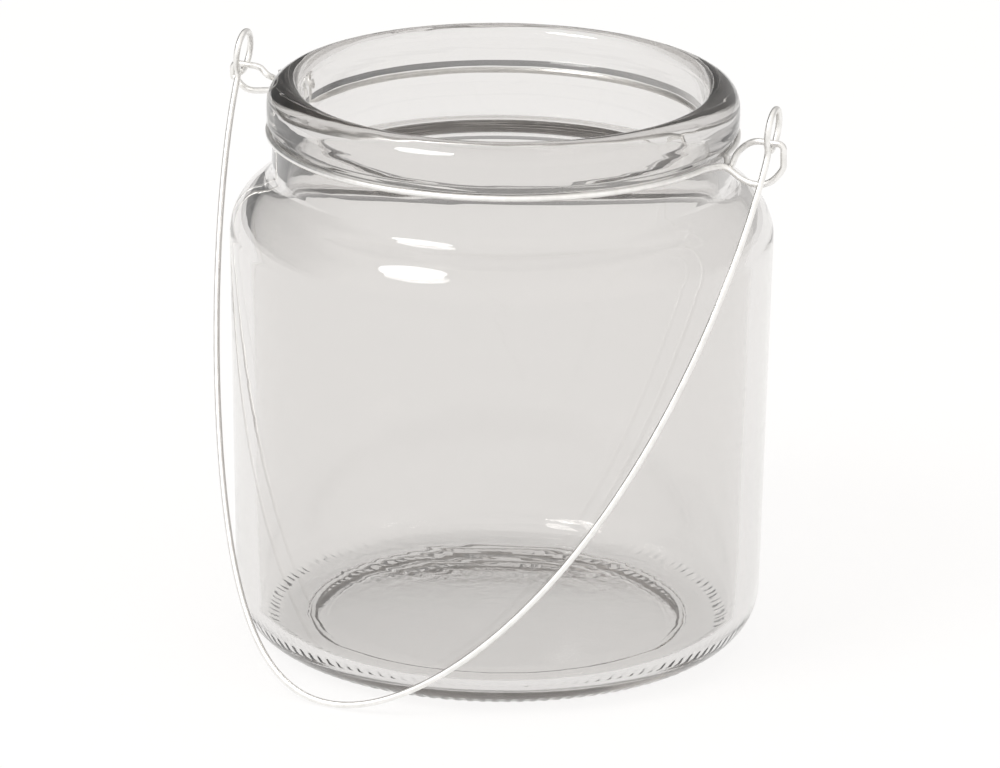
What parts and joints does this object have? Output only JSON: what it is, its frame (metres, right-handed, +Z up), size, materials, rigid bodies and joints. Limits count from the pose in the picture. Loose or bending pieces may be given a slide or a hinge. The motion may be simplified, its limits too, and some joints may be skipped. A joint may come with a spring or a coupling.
{
  "type": "mason jar lantern",
  "caption": "Small round-shouldered clear glass jar with a bright wire bail hooked into two eyes of a wire bent round its neck, for a candle.",
  "frame": {"origin": "centre of the jar's foot, on the plane it stands on", "axes": "+Z up along the jar's axis; +X through the eye whose strands cross at its root; the bail hangs towards -Y"},
  "size_m": [0.085, 0.0775, 0.081],
  "materials": {
    "clear_glass": "fire-polished pressed glass",
    "bright_wire": "bright galvanised wire"
  },
  "bodies": {
    "jar": {"glass_jar": "clear_glass", "neck_wire": "bright_wire"},
    "bail": {"bail_handle": "bright_wire"}
  },
  "joints": [
    {"name": "bail_swing", "type": "hinge", "parent": "jar", "child": "bail", "pos_m": [0, 0, 0.07772], "axis": [-1, 0, 0], "range_deg": [0, 300]}
  ]
}
